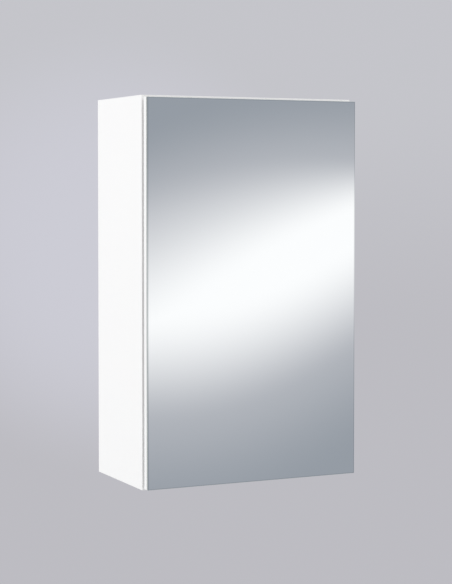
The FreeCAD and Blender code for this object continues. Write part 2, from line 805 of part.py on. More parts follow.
def hinge_plate(level):
    body = new_body(f"{level}_hinge_plate", HINGE_ZS[level])
    half_width = "Dims.plate_width / 2"
    wing = f"({PLATE_SCREW_Z} + Dims.plate_end_margin)"
    base = rectangle(f"{PLATE_Y} - {half_width}", f"{PLATE_Y} + {half_width}", f"-{wing}", wing)
    extrude(body, PAD, "YZ_Plane", PLATE_FACE, INNER_X, [base])
    fillet(body, "Dims.plate_corner_radius", "x", lambda spot: True)
    half_block = (
        "(Dims.arm_channel_width / 2 - Dims.arm_flange_thickness - Dims.plate_block_clearance)"
    )
    block = rectangle(
        f"{FRONT} + Dims.plate_block_front", f"{FRONT} + Dims.plate_block_rear", f"-{half_block}", half_block
    )
    extrude(body, PAD, "YZ_Plane", ARM_SEAT, INNER_X, [block])
    ends = [(PLATE_Y, f"{sign} * {PLATE_SCREW_Z}", WOOD_BORE) for sign in (-1, 1)]
    extrude(body, POCKET, "YZ_Plane", PLATE_FACE, INNER_X, circles=ends)
    taps = [(along, "0", MACHINE_BORE) for along in (FIXING_Y, ADJUSTING_Y)]
    reach = f"{ARM_SEAT} + Dims.machine_screw_length - Dims.arm_thickness + Dims.screw_end_clearance"
    extrude(body, POCKET, "YZ_Plane", ARM_SEAT, reach, circles=taps)


def hinge_cup(level):
    body = new_body(f"{level}_hinge_cup", HINGE_ZS[level])
    rim = f"{DOOR_BACK} + Dims.cup_flange_thickness"
    extrude(body, PAD, "XZ_Plane", CUP_FLOOR, DOOR_BACK, circles=[(CUP_X, "0", CUP_RADIUS)])
    half_wing = "Dims.cup_wing_width / 2"
    reach = f"({CUP_SCREW_Z} + Dims.cup_wing_reach)"
    wings = rectangle(f"{CUP_SCREW_X} - {half_wing}", f"{CUP_SCREW_X} + {half_wing}", f"-{reach}", reach)
    extrude(body, PAD, "XZ_Plane", DOOR_BACK, rim, [wings])
    fillet(body, "Dims.cup_wing_radius", "y", lambda spot: abs(spot.z) > number(CUP_SCREW_Z))
    collar = (CUP_X, "0", "Dims.cup_diameter / 2 + Dims.cup_flange_overlap")
    extrude(body, PAD, "XZ_Plane", DOOR_BACK, rim, circles=[collar])
    hollow = (CUP_X, "0", f"{CUP_RADIUS} - Dims.cup_wall")
    extrude(body, POCKET, "XZ_Plane", f"{CUP_FLOOR} + Dims.cup_wall", rim, circles=[hollow])
    half_lug = "Dims.lug_width / 2"
    lugs = [
        rectangle(f"{PIVOT_X} - {half_lug}", f"{PIVOT_X} + {half_lug}", *span)
        for span in ((LUG_START, LUG_END), (f"-{LUG_END}", f"-{LUG_START}"))
    ]
    extrude(body, PAD, "XZ_Plane", f"{CUP_FLOOR} + Dims.cup_wall / 2", f"{PIVOT_Y} + {half_lug}", lugs)
    bore = (PIVOT_X, PIVOT_Y, "Dims.hinge_pin_diameter / 2 + Dims.hinge_pin_press")
    end = f"({PIN_HALF} + Dims.hinge_pin_press)"
    extrude(body, POCKET, "XY_Plane", f"-{end}", end, circles=[bore])
    holes = [(CUP_SCREW_X, f"{sign} * {CUP_SCREW_Z}", WOOD_BORE) for sign in (-1, 1)]
    extrude(body, POCKET, "XZ_Plane", DOOR_BACK, rim, circles=holes)


def hinge_fittings():
    pin = new_body("hinge_pin_pattern", keep=False)
    circle = ("0", "0", "Dims.hinge_pin_diameter / 2")
    extrude(pin, PAD, "XY_Plane", f"-{PIN_HALF}", PIN_HALF, circles=[circle])
    heights = HINGE_ZS.values()
    copies("hinge_pins", pin, [(PIVOT_X, PIVOT_Y, height, FACING["up"]) for height in heights])
    copies("hinge_plate_screws", wood_screw("plate_screw_pattern", "Dims.plate_screw_length"), [
        (PLATE_FACE, PLATE_Y, f"{height} + {sign} * {PLATE_SCREW_Z}", FACING["left"])
        for height in heights
        for sign in (-1, 1)
    ])
    rim = f"{DOOR_BACK} + Dims.cup_flange_thickness"
    copies("hinge_cup_screws", wood_screw("cup_screw_pattern", "Dims.cup_screw_length"), [
        (CUP_SCREW_X, rim, f"{height} + {sign} * {CUP_SCREW_Z}", FACING["back"])
        for height in heights
        for sign in (-1, 1)
    ])
    machine = pan_screw(
        "machine_screw_pattern",
        "Dims.machine_screw_diameter",
        "Dims.machine_screw_length",
        "Dims.machine_head_diameter",
        "Dims.machine_head_height",
    )
    for label, along in (("hinge_fixing_screws", FIXING_Y), ("hinge_adjusting_screws", ADJUSTING_Y)):
        copies(label, machine, [(ARM_FACE, along, height, FACING["left"]) for height in heights])


# Push latch: a sprung plunger with a magnet in its tip, in a housing on the left side's inner face

def latch_outline():
    half = "Dims.latch_height / 2"
    return rectangle(f"-{INNER_X}", f"Dims.latch_width - {INNER_X}", f"-{half}", half)


def round_latch(body):
    corner_x = f"Dims.latch_width - {INNER_X}"
    fillet(body, "Dims.latch_corner_radius", "y", lambda spot: near(spot.x, corner_x))


def latch_housing():
    body = new_body("latch_housing", LATCH_Z)
    extrude(body, PAD, "XZ_Plane", LATCH_FRONT, LATCH_REAR, [latch_outline()])
    round_latch(body)
    half_ear = "Dims.latch_ear_length / 2"
    reach = "(Dims.latch_height / 2 + Dims.latch_ear_reach)"
    ears = rectangle(f"{LATCH_MID} - {half_ear}", f"{LATCH_MID} + {half_ear}", f"-{reach}", reach)
    ear_face = f"Dims.latch_ear_thickness - {INNER_X}"
    extrude(body, PAD, "YZ_Plane", f"-{INNER_X}", ear_face, [ears])
    tip = number(reach)
    fillet(body, "Dims.latch_ear_radius", "x", lambda spot: abs(abs(spot.z) - tip) < NEARLY)
    bore = (LATCH_X, "0", "Dims.plunger_diameter / 2 + Dims.plunger_clearance")
    extrude(body, POCKET, "XZ_Plane", LATCH_FRONT, LATCH_REAR, circles=[bore])
    chamber = (LATCH_X, "0", "Dims.chamber_diameter / 2")
    extrude(body, POCKET, "XZ_Plane", SHOULDER, LATCH_REAR, circles=[chamber])
    holes = [(LATCH_MID, f"{sign} * {LATCH_SCREW_Z}", WOOD_BORE) for sign in (-1, 1)]
    extrude(body, POCKET, "YZ_Plane", f"-{INNER_X}", ear_face, circles=holes)


def latch_end_cap():
    body = new_body("latch_end_cap", LATCH_Z)
    extrude(body, PAD, "XZ_Plane", LATCH_REAR, f"{LATCH_REAR} + Dims.latch_cap_flange", [latch_outline()])
    round_latch(body)
    plug = (LATCH_X, "0", "Dims.chamber_diameter / 2 - Dims.plunger_clearance")
    extrude(body, PAD, "XZ_Plane", PLUG_FRONT, LATCH_REAR, circles=[plug])


def latch_plunger():
    body = new_body("latch_plunger", LATCH_Z)
    stem = (LATCH_X, "0", "Dims.plunger_diameter / 2")
    extrude(body, PAD, "XZ_Plane", PLUNGER_TIP, TAIL_REAR, circles=[stem])
    tail = (LATCH_X, "0", "Dims.plunger_tail_diameter / 2")
    extrude(body, PAD, "XZ_Plane", TAIL_FRONT, TAIL_REAR, circles=[tail])
    seat = (LATCH_X, "0", "Dims.magnet_diameter / 2 + Dims.magnet_clearance")
    floor = f"{PLUNGER_TIP} + Dims.magnet_seat_depth"
    extrude(body, POCKET, "XZ_Plane", PLUNGER_TIP, floor, circles=[seat])
    chamfer(body, "Dims.plunger_tip_chamfer", rims(body, PLUNGER_TIP, "Dims.plunger_diameter / 2"))


def latch_magnet():
    body = new_body("latch_magnet", LATCH_Z)
    disc = (LATCH_X, "0", "Dims.magnet_diameter / 2")
    extrude(body, PAD, "XZ_Plane", MAGNET_TIP, f"{MAGNET_TIP} + Dims.magnet_length", circles=[disc])
    chamfer(body, "Dims.magnet_chamfer", rims(body, MAGNET_TIP, "Dims.magnet_diameter / 2"))


def tangent_arc(start, heading, end):
    """The arc from start to end that leaves start along a unit heading, and its middle point."""
    chord = end - start
    lift = chord - heading * chord.dot(heading)
    across = lift / lift.Length
    half_turn = math.atan2(lift.Length, chord.dot(heading))
    radius = chord.Length / (2 * math.sin(half_turn))
    middle = start + heading * (radius * math.sin(half_turn)) + across * (radius * (1 - math.cos(half_turn)))
    return Part.Arc(start, middle, end), middle


def latch_spring():
    """A compression spring between the plunger's tail and the end cap's plug, wound on pairs of arcs."""
    wire = sheet.spring_wire_diameter / 2
    radius = sheet.spring_mean_diameter / 2
    front = number(TAIL_REAR) + wire + sheet.spring_end_clearance
    rear = number(PLUG_FRONT) - wire - sheet.spring_end_clearance
    quarters = int(QUARTERS_PER_TURN * sheet.spring_turns)
    rise = (rear - front) / quarters
    slope = rise / (math.pi / 2)
    spots = []
    headings = []
    for quarter in range(quarters + 1):
        angle = quarter * math.pi / 2
        spots.append(Vector(radius * math.cos(angle), front + rise * quarter, radius * math.sin(angle)))
        heading = Vector(-radius * math.sin(angle), slope, radius * math.cos(angle))
        headings.append(heading / heading.Length)
    edges = []
    samples = []
    for start, end, leave, arrive in zip(spots, spots[1:], headings, headings[1:]):
        chord = end - start
        both = leave + arrive
        spread = 2 * (1 - leave.dot(arrive))
        pull = chord.dot(both)
        reach = (math.sqrt(pull ** 2 + spread * chord.dot(chord)) - pull) / spread
        meeting = (start + end + (leave - arrive) * reach) / 2
        first, first_middle = tangent_arc(start, leave, meeting)
        last, last_middle = tangent_arc(end, -arrive, meeting)
        edges.append(first.toShape())
        edges.append(Part.Arc(meeting, last_middle, end).toShape())
        samples += [start, first_middle, meeting, last_middle]
    path = Part.Wire(edges)
    section = Part.Wire([Part.makeCircle(wire, spots[0], headings[0])])
    shell = Part.BRepOffsetAPI.MakePipeShell(path)
    shell.add(section)
    shell.build()
    shell.makeSolid()
    half_turn = SAMPLES_PER_QUARTER * QUARTERS_PER_TURN // 2
    least = min(
        (spot - other).Length
        for index, spot in enumerate(samples)
        for other in samples[index + half_turn:]
    )
    print(f"latch_spring least gap to itself {least - 2 * wire:.2f} mm")
    spring = doc.addObject("Part::Feature", "latch_spring")
    spring.Label = "latch_spring"
    spring.Shape = shell.shape()
    spring.Placement.Base = Vector(number(LATCH_X), 0, number(LATCH_Z))
    sub_parts.append(spring)


def latch_screws():
    ear_face = f"Dims.latch_ear_thickness - {INNER_X}"
    copies("latch_screws", wood_screw("latch_screw_pattern", "Dims.latch_screw_length"), [
        (ear_face, LATCH_MID, f"{LATCH_Z} + {sign} * {LATCH_SCREW_Z}", FACING["right"]) for sign in (-1, 1)
    ])


def strike():
    body = new_body("strike_plate", LATCH_Z)
    half_width = "Dims.strike_width / 2"
    half_height = "Dims.strike_height / 2"
    outline = rectangle(
        f"{LATCH_X} - {half_width}", f"{LATCH_X} + {half_width}", f"-{half_height}", half_height
    )
    extrude(body, PAD, "XZ_Plane", DOOR_BACK, STRIKE_FACE, [outline])
    fillet(body, "Dims.strike_corner_radius", "y", lambda spot: True)
    shank = "(Dims.strike_screw_diameter / 2)"
    head = f"({shank} + Dims.strike_head_rise)"
    bore = f"{shank} + Dims.strike_head_clearance"
    bores = [(LATCH_X, f"{sign} * {STRIKE_SCREW_Z}", bore) for sign in (-1, 1)]
    extrude(body, POCKET, "XZ_Plane", DOOR_BACK, STRIKE_FACE, circles=bores)
    chamfer(body, "Dims.strike_head_rise", rims(body, STRIKE_FACE, bore))
    screw = new_body("strike_screw_pattern", keep=False)
    revolve(screw, [
        ("0", "-Dims.strike_screw_length"),
        (shank, f"{shank} - Dims.strike_screw_length"),
        (shank, "-Dims.strike_head_rise"),
        (head, "0"),
        ("0", "0"),
    ])
    cut_cross(screw, "0", "Dims.cross_depth", "Dims.cross_arm_width", f"{head} / 2")
    copies("strike_screws", screw, [
        (LATCH_X, STRIKE_FACE, f"{LATCH_Z} + {sign} * {STRIKE_SCREW_Z}", FACING["back"]) for sign in (-1, 1)
    ])


# Door

def door_panel():
    body = new_body("door_panel")
    outline = rectangle(f"-{DOOR_X}", DOOR_X, DOOR_BOTTOM, DOOR_TOP)
    extrude(body, PAD, "XZ_Plane", DOOR_FRONT, DOOR_BACK, [outline])
    for axis in ("z", "x"):
        edges = straight_edges(body, axis, lambda spot: near(spot.y, DOOR_BACK))
        chamfer(body, "Dims.door_edge_chamfer", edges)
    cups = [(CUP_X, height, "Dims.cup_diameter / 2") for height in HINGE_ZS.values()]
    seat = f"{CUP_FLOOR} - Dims.cup_clearance"
    extrude(body, POCKET, "XZ_Plane", seat, DOOR_BACK, circles=cups)
    pilots = [
        (CUP_SCREW_X, f"{height} + {sign} * {CUP_SCREW_Z}", WOOD_BORE)
        for height in HINGE_ZS.values()
        for sign in (-1, 1)
    ]
    reach = "Dims.cup_screw_length - Dims.cup_flange_thickness + Dims.screw_end_clearance"
    extrude(body, POCKET, "XZ_Plane", f"{DOOR_BACK} - ({reach})", DOOR_BACK, circles=pilots)
    strikes = [
        (LATCH_X, f"{LATCH_Z} + {sign} * {STRIKE_SCREW_Z}",
         "Dims.strike_screw_diameter / 2 + Dims.screw_clearance")
        for sign in (-1, 1)
    ]
    reach = "Dims.strike_screw_length - Dims.strike_thickness + Dims.screw_end_clearance"
    extrude(body, POCKET, "XZ_Plane", f"{DOOR_BACK} - ({reach})", DOOR_BACK, circles=strikes)


def mirror():
    glass = new_body("mirror_glass")
    outline = rectangle(f"-{DOOR_X}", DOOR_X, DOOR_BOTTOM, DOOR_TOP)
    extrude(glass, PAD, "XZ_Plane", GLASS_FRONT, GLASS_BACK, [outline])
    for axis in ("z", "x"):
        edges = straight_edges(glass, axis, lambda spot: near(spot.y, GLASS_FRONT))
        chamfer(glass, "Dims.glass_arris", edges)
    tape = new_body("tape_pattern", keep=False)
    half = "Dims.tape_width / 2"
    strip = rectangle(
        f"-{half}", half, f"{DOOR_BOTTOM} + Dims.tape_end_margin", f"{DOOR_TOP} - Dims.tape_end_margin"
    )
    extrude(tape, PAD, "XZ_Plane", GLASS_BACK, DOOR_FRONT, [strip])
    copies("mirror_tape", tape, [
        (f"{step} * Dims.tape_spacing", "0", "0", FACING["up"]) for step in (-1, 0, 1)
    ])


side_panel("left_side_panel", -1)
side_panel("right_side_panel", 1)
deck_panel("top_panel", CEILING, TOP, TOP_MID, 1)
deck_panel("bottom_panel", FLOOR, BOTTOM, BOTTOM_MID, -1)
back_panel()
rail("hanging_rail", f"-{CEILING}", CEILING, WALL, "Dims.rail_dowel_spacing", wall_holes())
rail(
    "lower_rail",
    FLOOR,
    f"{FLOOR} + Dims.lower_rail_height",
    LOWER_RAIL_MID,
    "Dims.lower_rail_dowel_spacing",
    None,
)
for level in SHELF_RISES:
    shelf(level)
shelf_pins()
cam_discs()
cam_caps()
cam_bolts()
dowels()
for level in HINGE_ZS:
    hinge_arm(level)
    hinge_plate(level)
    hinge_cup(level)
hinge_fittings()
latch_housing()
latch_end_cap()
latch_plunger()
latch_magnet()
latch_spring()
latch_screws()
strike()
door_panel()
mirror()
doc.recompute()

# Nothing is written unless every object is sound
for item in doc.Objects:
    if "Invalid" in item.State or "Error" in item.State:
        raise RuntimeError(f"{item.Label} failed: {item.State}")
for item in sub_parts:
    if item.Shape.isNull() or not item.Shape.isValid():
        raise RuntimeError(f"{item.Label} has no valid shape")

os.makedirs("parts", exist_ok=True)
for item in sub_parts:
    item.Shape.exportStep(os.path.join("parts", f"{item.Label}.step"))
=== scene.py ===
import math

import bpy
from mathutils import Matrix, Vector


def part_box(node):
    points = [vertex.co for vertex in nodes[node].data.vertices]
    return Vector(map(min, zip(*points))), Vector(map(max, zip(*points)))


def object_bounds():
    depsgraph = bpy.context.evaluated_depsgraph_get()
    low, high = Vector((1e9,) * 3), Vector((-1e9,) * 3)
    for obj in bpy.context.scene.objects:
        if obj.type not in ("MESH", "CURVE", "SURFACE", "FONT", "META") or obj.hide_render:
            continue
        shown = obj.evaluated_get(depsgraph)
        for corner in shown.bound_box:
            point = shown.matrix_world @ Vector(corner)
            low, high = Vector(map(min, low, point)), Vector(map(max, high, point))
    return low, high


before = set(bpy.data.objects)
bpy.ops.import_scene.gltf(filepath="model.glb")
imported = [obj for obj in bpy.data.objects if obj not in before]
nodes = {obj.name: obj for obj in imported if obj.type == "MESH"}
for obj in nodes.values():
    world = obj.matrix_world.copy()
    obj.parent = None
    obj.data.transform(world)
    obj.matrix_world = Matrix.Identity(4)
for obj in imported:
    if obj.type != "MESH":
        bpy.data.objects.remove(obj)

# Bathroom mirror cabinet: finishes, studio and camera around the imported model.
# Metres, in the model's own frame: +Z up, -Y the mirrored front, the wall at y = 0.

cad_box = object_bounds()

MM = 0.001
LEFT, RIGHT = (-1, 0, 0), (1, 0, 0)
FORWARD, REARWARD = (0, -1, 0), (0, 1, 0)
DOWN, UP = (0, 0, -1), (0, 0, 1)
EQUAL_SHARES = (1 / 3, 1 / 3, 1 / 3)


class Graph:
    """A node tree, with short calls that add a node and give back its output."""

    def __init__(self, tree):
        self.tree = tree

    def add(self, kind, **settings):
        node = self.tree.nodes.new(kind)
        for name, value in settings.items():
            setattr(node, name, value)
        return node

    def feed(self, socket, value):
        """Links an output to a socket, or sets the socket to a plain number, vector or colour."""
        if isinstance(value, bpy.types.NodeSocket):
            self.tree.links.new(value, socket)
        elif socket.type == "RGBA":
            socket.default_value = (*value, 1.0)
        else:
            socket.default_value = value

    def operate(self, kind, operation, values):
        node = self.add(kind, operation=operation)
        for socket, value in zip(node.inputs, values):
            self.feed(socket, value)
        return node

    def calc(self, operation, *values):
        return self.operate("ShaderNodeMath", operation, values).outputs["Value"]

    def vector(self, operation, *values):
        return self.operate("ShaderNodeVectorMath", operation, values).outputs["Vector"]

    def dot(self, first, second):
        return self.operate("ShaderNodeVectorMath", "DOT_PRODUCT", (first, second)).outputs["Value"]

    def total(self, base, *terms):
        """A base plus each term's value times its weight."""
        sum_so_far = base
        for value, weight in terms:
            sum_so_far = self.calc("MULTIPLY_ADD", value, weight, sum_so_far)
        return sum_so_far

    def fade(self, value, start, stop, low=0.0, high=1.0):
        """A smooth step from low, at start, to high, at stop."""
        node = self.add("ShaderNodeMapRange", interpolation_type="SMOOTHSTEP")
        settings = {"Value": value, "From Min": start, "From Max": stop, "To Min": low, "To Max": high}
        for name, setting in settings.items():
            self.feed(node.inputs[name], setting)
        return node.outputs["Result"]

    def between(self, share, low, high):
        """A number between low, at share 0, and high, at share 1."""
        return self.fade(share, 0.0, 1.0, low, high)

    def blend(self, factor, first, second):
        """A colour between first, at factor 0, and second, at factor 1."""
        node = self.add("ShaderNodeMix", data_type="RGBA")
        sockets = {socket.identifier: socket for socket in (*node.inputs, *node.outputs)}
        self.feed(sockets["Factor_Float"], factor)
        self.feed(sockets["A_Color"], first)
        self.feed(sockets["B_Color"], second)
        return sockets["Result_Color"]


class Surface(Graph):
    """A material in the making: its shader, and textures in the model's own metres."""

    def __init__(self, name, **constants):
        self.material = bpy.data.materials.new(name)
        self.material.use_nodes = True
        super().__init__(self.material.node_tree)
        self.shader = self.tree.nodes["Principled BSDF"]
        for socket, value in constants.items():
            self.set(socket.replace("_", " "), value)
        coordinates = self.add("ShaderNodeTexCoord")
        self.place = coordinates.outputs["Object"]
        self.normal = coordinates.outputs["Normal"]

    def set(self, socket, value):
        self.feed(self.shader.inputs[socket], value)

    def stretched(self, stretch):
        return self.vector("MULTIPLY", self.place, stretch) if stretch else self.place

    def noise(self, size, detail=2.0, stretch=None):
        """Soft noise from 0 to 1, with features of a size in metres."""
        node = self.add("ShaderNodeTexNoise")
        self.feed(node.inputs["Vector"], self.stretched(stretch))
        self.feed(node.inputs["Scale"], 1 / size)
        self.feed(node.inputs["Detail"], detail)
        return node.outputs["Fac"]

    def flakes(self, size, stretch=None):
        """A random tone from 0 to 1 for each of many small cells."""
        node = self.add("ShaderNodeTexVoronoi")
        self.feed(node.inputs["Vector"], self.stretched(stretch))
        self.feed(node.inputs["Scale"], 1 / size)
        return self.dot(node.outputs["Color"], EQUAL_SHARES)

    def ripple(self, direction, pitch):
        """Ridges from -1 to 1 across a direction, a pitch apart."""
        distance = self.dot(self.place, direction)
        return self.calc("SINE", self.calc("MULTIPLY", distance, 2 * math.pi / pitch))

    def facing(self, direction, start=0.9, stop=0.95):
        """1 where the surface looks along a direction, 0 elsewhere: start and stop are cosines."""
        return self.fade(self.dot(self.normal, direction), start, stop)

    def depths(self, node):
        """How far inside the nearer end of a node's box a point lies, along each axis."""
        low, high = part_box(node)
        off_centre = self.vector("SUBTRACT", self.place, tuple((low + high) / 2))
        depth = self.vector("SUBTRACT", tuple((high - low) / 2), self.vector("ABSOLUTE", off_centre))
        split = self.add("ShaderNodeSeparateXYZ")
        self.feed(split.inputs["Vector"], depth)
        return split.outputs

    def tone(self, colour, texture, change):
        """A colour that a texture lightens and darkens by a small share."""
        dark = tuple(part * (1 - change) for part in colour)
        light = tuple(min(part * (1 + change), 1.0) for part in colour)
        return self.blend(texture, dark, light)

    def bump(self, *reliefs):
        """Relief from pairs of a texture and its depth in metres."""
        node = self.add("ShaderNodeBump")
        self.feed(node.inputs["Height"], self.total(0.0, *reliefs))
        self.feed(node.inputs["Distance"], 1.0)
        self.set("Normal", node.outputs["Normal"])

    def paint(self, *names):
        for name in names:
            slots = nodes[name].data.materials
            slots.clear()
            slots.append(self.material)


# Boards: white melamine over a chipboard core, and a hardboard back

MELAMINE = (0.87, 0.87, 0.865)
SEAM_GREY = (0.55, 0.54, 0.52)
SEAM_STRENGTH = 0.35
CHIP_DARK, CHIP_LIGHT, CHIP_CLOUD = (0.30, 0.19, 0.10), (0.66, 0.50, 0.32), (0.48, 0.34, 0.20)
FIBRE_DARK, FIBRE_LIGHT, FIBRE_CLOUD = (0.17, 0.095, 0.048), (0.40, 0.26, 0.15), (0.33, 0.21, 0.12)
LACQUER = (0.84, 0.84, 0.83)

# Depths where the core starts to show and where it is bare: under the skin in bores and grooves,
# and inside the foil on raw ends
SKIN_DEPTH = (0.70 * MM, 0.77 * MM)
FOIL_DEPTH = (0.24 * MM, 0.36 * MM)

EDGE_BAND_THICKNESS = 0.9 * MM
SEAM_HALF_WIDTH = 0.12 * MM
SCREEN_PITCH = 1.3 * MM

# Directions in which a board's raw ends look
RAW_ENDS = {
    "left_side_panel": [REARWARD],
    "right_side_panel": [REARWARD],
    "top_panel": [REARWARD, LEFT, RIGHT],
    "bottom_panel": [REARWARD, LEFT, RIGHT],
    "hanging_rail": [LEFT, RIGHT, UP, DOWN],
    "lower_rail": [LEFT, RIGHT, UP, DOWN],
    "upper_shelf": [REARWARD],
    "lower_shelf": [REARWARD],
    "door_panel": [],
}


def board(node, raw_ends):
    """Melamine on the faces, a seam beside the edge band, and bare core in bores, grooves and raw ends."""
    surface = Surface(f"board_{node}", IOR=1.5)
    across, along, upward = surface.depths(node)
    # The least and the second least of the three depths tell faces, edges and bores apart.
    shallow = surface.calc("MINIMUM", across, along)
    deep = surface.calc("MAXIMUM", across, along)
    least = surface.calc("MINIMUM", shallow, upward)
    second = surface.calc("MAXIMUM", shallow, surface.calc("MINIMUM", deep, upward))
    bare = surface.fade(least, *SKIN_DEPTH)
    within_foil = surface.fade(second, *FOIL_DEPTH)
    for direction in raw_ends:
        raw_end = surface.calc("MULTIPLY", surface.facing(direction), within_foil)
        bare = surface.calc("MAXIMUM", bare, raw_end)

    cloud = surface.noise(60 * MM, detail=3)
    off_seam = surface.calc("ABSOLUTE", surface.calc("SUBTRACT", second, EDGE_BAND_THICKNESS))
    seam = surface.fade(off_seam, SEAM_HALF_WIDTH, 0.0, high=SEAM_STRENGTH)
    face = surface.blend(seam, surface.tone(MELAMINE, cloud, change=0.012), SEAM_GREY)
    chips = surface.flakes(1.6 * MM)
    core = surface.blend(chips, CHIP_DARK, CHIP_LIGHT)
    core = surface.blend(surface.noise(9 * MM), core, CHIP_CLOUD)
    surface.set("Base Color", surface.blend(bare, face, core))

    satin = surface.fade(cloud, start=0.3, stop=0.7, low=0.30, high=0.40)
    surface.set("Roughness", surface.between(bare, low=satin, high=0.9))
    pearl = surface.noise(0.7 * MM, detail=3)
    bare_chips = surface.calc("MULTIPLY", chips, bare)
    surface.bump((pearl, 0.0105 * MM), (bare_chips, 0.18 * MM))
    surface.paint(node)


def hardboard(node):
    """Thin fibreboard: lacquered white on the inside, brown with a screen mark on the wall side."""
    surface = Surface("hardboard", IOR=1.5)
    inside = surface.facing(FORWARD)
    fibres = surface.noise(1.2 * MM, detail=4)
    cloud = surface.noise(45 * MM, detail=3)
    brown = surface.blend(fibres, FIBRE_DARK, FIBRE_LIGHT)
    brown = surface.blend(surface.fade(cloud, start=0.35, stop=0.75, high=0.5), brown, FIBRE_CLOUD)
    white = surface.tone(LACQUER, cloud, change=0.015)
    surface.set("Base Color", surface.blend(inside, brown, white))
    surface.set("Roughness", surface.between(inside, low=0.78, high=0.42))
    screen = surface.calc("MULTIPLY", surface.ripple(RIGHT, SCREEN_PITCH), surface.ripple(UP, SCREEN_PITCH))
    screen_depth = surface.between(inside, low=0.045 * MM, high=0.0)
    surface.bump((screen, screen_depth), (fibres, 0.025 * MM))
    surface.paint(node)


# Mirror and its foam tape

SILVER = (0.93, 0.945, 0.945)
# Rim of the mirror face: partly a darker silvered edge and partly painted shade along the glass's edges. It
# starts 1.5 mm in from an edge and is full from 1.2 mm.
RIM_TINT_AND_SHADE = (0.72, 0.735, 0.745)
RIM_TINT_AND_SHADE_DEPTH = (1.5 * MM, 1.2 * MM)
ARRIS = (0.60, 0.64, 0.635)
GLASS_EDGE = (0.31, 0.34, 0.335)
BACKING = (0.23, 0.25, 0.26)
FOAM = (0.72, 0.72, 0.70)


def mirror(node):
    """Silvered glass: a clear face with a dim rim (partly a darker silvered edge, partly painted shade
    along the edges), an arris, grey-green edges and grey backing paint.
    """
    surface = Surface("mirror", IOR=1.52)
    face = surface.facing(FORWARD)
    face_or_arris = surface.facing(FORWARD, start=0.5, stop=0.6)
    edge_or_back = surface.calc("SUBTRACT", 1.0, face_or_arris)
    back = surface.facing(REARWARD)
    haze = surface.noise(35 * MM, detail=4)
    speck = surface.noise(0.9 * MM)

    # Painted shade, on top of a darker silvered edge: the face dims to the rim colour near the glass's
    # edges.
    depth_across, _, depth_upward = surface.depths(node)
    border = surface.calc("MINIMUM", depth_across, depth_upward)
    clear = surface.blend(surface.fade(border, *RIM_TINT_AND_SHADE_DEPTH), SILVER, RIM_TINT_AND_SHADE)
    silvered = surface.blend(face, ARRIS, clear)
    edge = surface.tone(GLASS_EDGE, haze, change=0.15)
    backing = surface.tone(BACKING, speck, change=0.2)
    unsilvered = surface.blend(back, edge, backing)
    surface.set("Base Color", surface.blend(face_or_arris, unsilvered, silvered))
    surface.set("Metallic", face_or_arris)

    polish = surface.fade(haze, start=0.35, stop=0.8, low=0.012, high=0.03)
    dull = surface.between(back, low=0.22, high=0.6)
    surface.set("Roughness", surface.total(0.0, (dull, edge_or_back), (polish, face_or_arris)))
    surface.bump((surface.calc("MULTIPLY", speck, edge_or_back), 0.02 * MM))
    surface.paint(node)


def foam(node):
    """Foam tape with small cells."""
    surface = Surface("foam_tape", Specular_IOR_Level=0.25)
    cells = surface.flakes(0.5 * MM)
    surface.set("Base Color", surface.tone(FOAM, cells, change=0.12))
    surface.set("Roughness", surface.between(cells, low=0.75, high=0.95))
    surface.bump((cells, 0.15 * MM))
    surface.paint(node)


# Fittings: plated steel, moulded plastic and beech

NICKEL = (0.83, 0.815, 0.785)
ZINC = (0.74, 0.755, 0.77)
SPRING_STEEL = (0.50, 0.50, 0.51)
HANDLED_STEEL = (0.42, 0.41, 0.40)
MARK_STRENGTH, MARK_ROUGHNESS = 0.10, 0.06
WHITE_PLASTIC = (0.80, 0.80, 0.79)
GREY_PLASTIC = (0.30, 0.31, 0.32)
BEECH_DARK, BEECH_LIGHT, BEECH_FLECK = (0.42, 0.26, 0.13), (0.72, 0.53, 0.34), (0.36, 0.21, 0.10)

# A texture is drawn out along the axis that a stretch shrinks.
DRAWN_LINES = (1, 0.1, 1)
BEECH_GRAIN = (0.08, 1, 1)
BEECH_RAYS = (0.25, 1, 1)

HINGE_PIECES = [
    f"{level}_hinge_{piece}"
    for level in ("upper", "lower")
    for piece in ("arm", "plate", "cup")
]


def plated(name, colour, roughness, members, stretch=None):
    """Plated steel: a cloudy tint, fine lines in the finish, and small handling marks."""
    surface = Surface(name, Metallic=1.0)
    cloud = surface.noise(7 * MM, detail=3)
    lines = surface.noise(0.5 * MM, detail=3, stretch=stretch)
    marks = surface.fade(surface.noise(2.5 * MM, detail=5), start=0.62, stop=0.72)
    tint = surface.tone(colour, cloud, change=0.03)
    marked = surface.calc("MULTIPLY", marks, MARK_STRENGTH)
    surface.set("Base Color", surface.blend(marked, tint, HANDLED_STEEL))
    low, high = roughness
    finish = surface.fade(lines, start=0.25, stop=0.75, low=low, high=high)
    surface.set("Roughness", surface.total(finish, (marks, MARK_ROUGHNESS)))
    surface.bump((lines, 0.005 * MM))
    surface.paint(*members)


def moulded(name, colour, roughness, members):
    """Injection-moulded plastic with a fine spark-eroded skin."""
    surface = Surface(name, IOR=1.47)
    skin = surface.noise(0.35 * MM)
    cloud = surface.noise(12 * MM, detail=3)
    surface.set("Base Color", surface.tone(colour, cloud, change=0.03))
    low, high = roughness
    surface.set("Roughness", surface.fade(skin, start=0.2, stop=0.8, low=low, high=high))
    surface.bump((skin, 0.02 * MM))
    surface.paint(*members)


def beech(node):
    """Beech with its grain and flecks along the dowels."""
    surface = Surface("beech", IOR=1.5)
    grain = surface.noise(1.1 * MM, detail=4, stretch=BEECH_GRAIN)
    rays = surface.flakes(0.9 * MM, stretch=BEECH_RAYS)
    flecks = surface.fade(rays, start=0.75, stop=0.9, high=0.5)
    wood = surface.blend(grain, BEECH_DARK, BEECH_LIGHT)
    surface.set("Base Color", surface.blend(flecks, wood, BEECH_FLECK))
    surface.set("Roughness", surface.fade(grain, start=0.2, stop=0.8, low=0.55, high=0.75))
    surface.bump((grain, 0.08 * MM))
    surface.paint(node)


